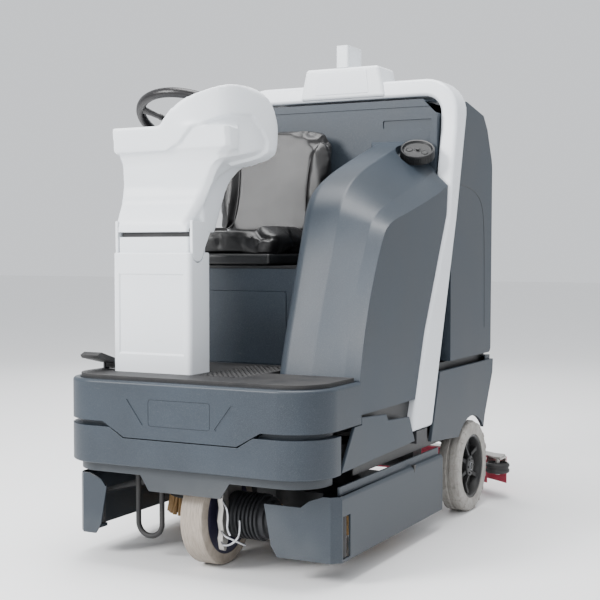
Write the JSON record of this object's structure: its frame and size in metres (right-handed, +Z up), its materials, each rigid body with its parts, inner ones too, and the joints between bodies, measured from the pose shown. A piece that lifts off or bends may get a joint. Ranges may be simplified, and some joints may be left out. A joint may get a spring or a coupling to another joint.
{
  "type": "ride-on floor scrubber",
  "caption": "Ride-on floor scrubber with a driver's seat, tilting steering console, solution and recovery tanks, disc-brush deck and trailing squeegee.",
  "frame": {"origin": "on the floor, under the middle of the machine's box", "axes": "+Z up, the machine drives towards -Y, +X is the driver's left"},
  "size_m": [0.98, 1.6999, 1.64],
  "materials": {
    "body_plastic": "fine grained, satin",
    "lip_plastic": "fine grained, satin",
    "white_plastic": "satin",
    "white_metal": "satin powder coat",
    "frame_steel": "black powder coat",
    "black_metal": "satin black",
    "bright_steel": "machined",
    "cast_metal": "cast, brushed",
    "black_rubber": "moulded",
    "black_plastic": "satin",
    "grip_plastic": "soft touch, fine grain",
    "button_plastic": "smooth",
    "red_plastic": "smooth",
    "display_glass": "glossy",
    "battery_case": "satin",
    "hose_plastic": "ribbed, satin",
    "drive_tread": "polyurethane, worn",
    "grey_tyre": "non-marking, siped",
    "vinyl": "glossy black vinyl",
    "brush_plastic": "bristles",
    "red_rubber": "matt"
  },
  "bodies": {
    "chassis": {"chassis_frame": "frame_steel", "front_bumper": "body_plastic", "bumper_band": "body_plastic", "bumper_lip": "lip_plastic", "platform_pan": "frame_steel", "floor_mat": "black_rubber", "column_cover": "white_plastic", "column_post": "frame_steel", "steer_bearing": "bright_steel", "rear_axle": "bright_steel", "solution_tank": "body_plastic", "recovery_tank": "body_plastic", "battery_box": "body_plastic", "cable_loop": "black_rubber", "batteries": "battery_case", "seat_deck": "black_plastic", "side_cover_right": "body_plastic", "hoop_frame": "white_metal", "hoop_badge_box": "white_plastic", "beacon_post": "white_plastic", "side_trims": "body_plastic", "rear_fenders": "body_plastic", "suction_hose": "hose_plastic", "suction_motor": "black_plastic"},
    "console": {"console_shell": "white_plastic", "console_frame": "frame_steel", "display": "display_glass"},
    "brush_button": {"brush_button": "button_plastic"},
    "water_button": {"water_button": "button_plastic"},
    "suction_button": {"suction_button": "button_plastic"},
    "key_switch": {"key_switch": "bright_steel"},
    "emergency_stop": {"emergency_stop": "red_plastic"},
    "steering_wheel": {"steering_wheel": "grip_plastic"},
    "horn_button": {"horn_button": "grip_plastic"},
    "drive_pedal": {"drive_pedal": "black_rubber"},
    "filler_cap": {"filler_cap": "black_plastic"},
    "recovery_lid": {"recovery_lid": "body_plastic"},
    "front_wheel": {"front_wheel": "drive_tread"},
    "rear_wheel_left": {"rear_wheel_left": "grey_tyre"},
    "rear_wheel_right": {"rear_wheel_right": "grey_tyre"},
    "deck_lift_arms": {"deck_lift_arms": "frame_steel"},
    "brush_left": {"brush_left": "brush_plastic"},
    "brush_right": {"brush_right": "brush_plastic"},
    "skirt_left": {"skirt_left": "body_plastic"},
    "skirt_right": {"skirt_right": "body_plastic"},
    "skirt_roller_left": {"skirt_roller_left": "black_rubber"},
    "skirt_roller_right": {"skirt_roller_right": "black_rubber"},
    "squeegee_lift_arms": {"squeegee_lift_arms": "frame_steel"},
    "squeegee_roller_left": {"squeegee_roller_left": "black_rubber"},
    "squeegee_roller_right": {"squeegee_roller_right": "black_rubber"},
    "drive_unit": {"front_fork": "cast_metal", "drive_motor": "black_metal"},
    "seat": {"seat_frame": "frame_steel", "seat_cushion": "vinyl", "seat_back": "vinyl"},
    "deck": {"deck_plate": "black_metal", "brush_motors": "black_metal"},
    "squeegee": {"squeegee_holder": "cast_metal", "squeegee_blades": "red_rubber", "squeegee_knobs": "black_plastic"}
  },
  "joints": [
    {"name": "console_tilt", "type": "hinge", "parent": "chassis", "child": "console", "pos_m": [-0.184, -0.668, 0.916], "axis": [1, 0, 0], "range_deg": [-8, 4]},
    {"name": "fork_steer", "type": "hinge", "parent": "chassis", "child": "drive_unit", "pos_m": [0, -0.64, 0.15], "axis": [0, 0, 1], "range_deg": [-75, 75]},
    {"name": "steering_turn", "type": "hinge", "parent": "console", "child": "steering_wheel", "pos_m": [-0.184, -0.48, 1.312], "axis": [0, 0.4695, 0.8829], "range_deg": [-450, 450]},
    {"name": "horn_press", "type": "slide", "parent": "steering_wheel", "child": "horn_button", "axis": [0, -0.4695, -0.8829], "range_m": [0, 0.003], "stiffness_N_per_m": 300, "springref_m": -0.002},
    {"name": "brush_press", "type": "slide", "parent": "console", "child": "brush_button", "axis": [0, -0.4778, -0.8785], "range_m": [0, 0.003], "stiffness_N_per_m": 300, "springref_m": -0.002},
    {"name": "water_press", "type": "slide", "parent": "console", "child": "water_button", "axis": [0, -0.4778, -0.8785], "range_m": [0, 0.003], "stiffness_N_per_m": 300, "springref_m": -0.002},
    {"name": "suction_press", "type": "slide", "parent": "console", "child": "suction_button", "axis": [0, -0.4778, -0.8785], "range_m": [0, 0.003], "stiffness_N_per_m": 300, "springref_m": -0.002},
    {"name": "stop_press", "type": "slide", "parent": "console", "child": "emergency_stop", "axis": [0, -0.4778, -0.8785], "range_m": [0, 0.004], "stiffness_N_per_m": 600, "springref_m": -0.002},
    {"name": "key_turn", "type": "hinge", "parent": "console", "child": "key_switch", "pos_m": [-0.084, -0.58935, 1.25733], "axis": [0, 0.4778, 0.8785], "range_deg": [-60, 0]},
    {"name": "drive_wheel_spin", "type": "hinge", "parent": "drive_unit", "child": "front_wheel", "pos_m": [0, -0.64, 0.15], "axis": [1, 0, 0], "continuous": true},
    {"name": "rear_left_spin", "type": "hinge", "parent": "chassis", "child": "rear_wheel_left", "pos_m": [0.397, 0.375, 0.158], "axis": [1, 0, 0], "continuous": true},
    {"name": "rear_right_spin", "type": "hinge", "parent": "chassis", "child": "rear_wheel_right", "pos_m": [-0.397, 0.375, 0.158], "axis": [1, 0, 0], "continuous": true},
    {"name": "pedal_press", "type": "hinge", "parent": "chassis", "child": "drive_pedal", "pos_m": [-0.375, -0.64, 0.566], "axis": [1, 0, 0], "range_deg": [0, 10], "stiffness_Nm_per_rad": 4, "springref_deg": -14.32},
    {"name": "cap_turn", "type": "hinge", "parent": "chassis", "child": "filler_cap", "pos_m": [0.318, 0.13, 1.232], "axis": [0.2419, -0.5426, 0.8044], "range_deg": [0, 90]},
    {"name": "lid_open", "type": "hinge", "parent": "chassis", "child": "recovery_lid", "pos_m": [0, 0.51124, 1.41399], "axis": [-1, 0, 0], "range_deg": [0, 70]},
    {"name": "seat_slide", "type": "slide", "parent": "chassis", "child": "seat", "axis": [0, -1, 0], "range_m": [0, 0.06]},
    {"name": "deck_lift", "type": "hinge", "parent": "chassis", "child": "deck_lift_arms", "pos_m": [0, 0.11, 0.205], "axis": [1, 0, 0], "range_deg": [0, 10]},
    {"name": "deck_level", "type": "hinge", "parent": "deck_lift_arms", "child": "deck", "pos_m": [0, -0.225, 0.222], "axis": [1, 0, 0], "range_deg": [-10, 0]},
    {"name": "brush_left_spin", "type": "hinge", "parent": "deck", "child": "brush_left", "pos_m": [0.215, -0.235, 0.1], "axis": [0, 0, 1], "continuous": true},
    {"name": "brush_right_spin", "type": "hinge", "parent": "deck", "child": "brush_right", "pos_m": [-0.215, -0.235, 0.1], "axis": [0, 0, 1], "continuous": true},
    {"name": "skirt_left_swing", "type": "hinge", "parent": "deck", "child": "skirt_left", "pos_m": [0.372, -0.7, 0.14], "axis": [0, 0, -1], "range_deg": [0, 50]},
    {"name": "skirt_right_swing", "type": "hinge", "parent": "deck", "child": "skirt_right", "pos_m": [-0.372, -0.7, 0.14], "axis": [0, 0, 1], "range_deg": [0, 50]},
    {"name": "skirt_roller_left_spin", "type": "hinge", "parent": "skirt_left", "child": "skirt_roller_left", "pos_m": [0.421, -0.684, 0.13], "axis": [0, 0, 1], "continuous": true},
    {"name": "skirt_roller_right_spin", "type": "hinge", "parent": "skirt_right", "child": "skirt_roller_right", "pos_m": [-0.421, -0.684, 0.13], "axis": [0, 0, 1], "continuous": true},
    {"name": "squeegee_lift", "type": "hinge", "parent": "chassis", "child": "squeegee_lift_arms", "pos_m": [0, 0.48, 0.235], "axis": [-1, 0, 0], "range_deg": [0, 10.5], "deforming": ["suction_hose"]},
    {"name": "squeegee_level", "type": "hinge", "parent": "squeegee_lift_arms", "child": "squeegee", "pos_m": [0, 0.715, 0.216], "axis": [-1, 0, 0], "range_deg": [-10.5, 0]},
    {"name": "squeegee_roller_left_spin", "type": "hinge", "parent": "squeegee", "child": "squeegee_roller_left", "pos_m": [0.446, 0.622, 0.11], "axis": [0, 0, 1], "continuous": true},
    {"name": "squeegee_roller_right_spin", "type": "hinge", "parent": "squeegee", "child": "squeegee_roller_right", "pos_m": [-0.446, 0.622, 0.11], "axis": [0, 0, 1], "continuous": true}
  ],
  "couplings": [
    {"joint": "steering_turn", "follows": "fork_steer", "ratio": 6},
    {"joint": "deck_level", "follows": "deck_lift", "ratio": -1},
    {"joint": "squeegee_level", "follows": "squeegee_lift", "ratio": -1}
  ]
}
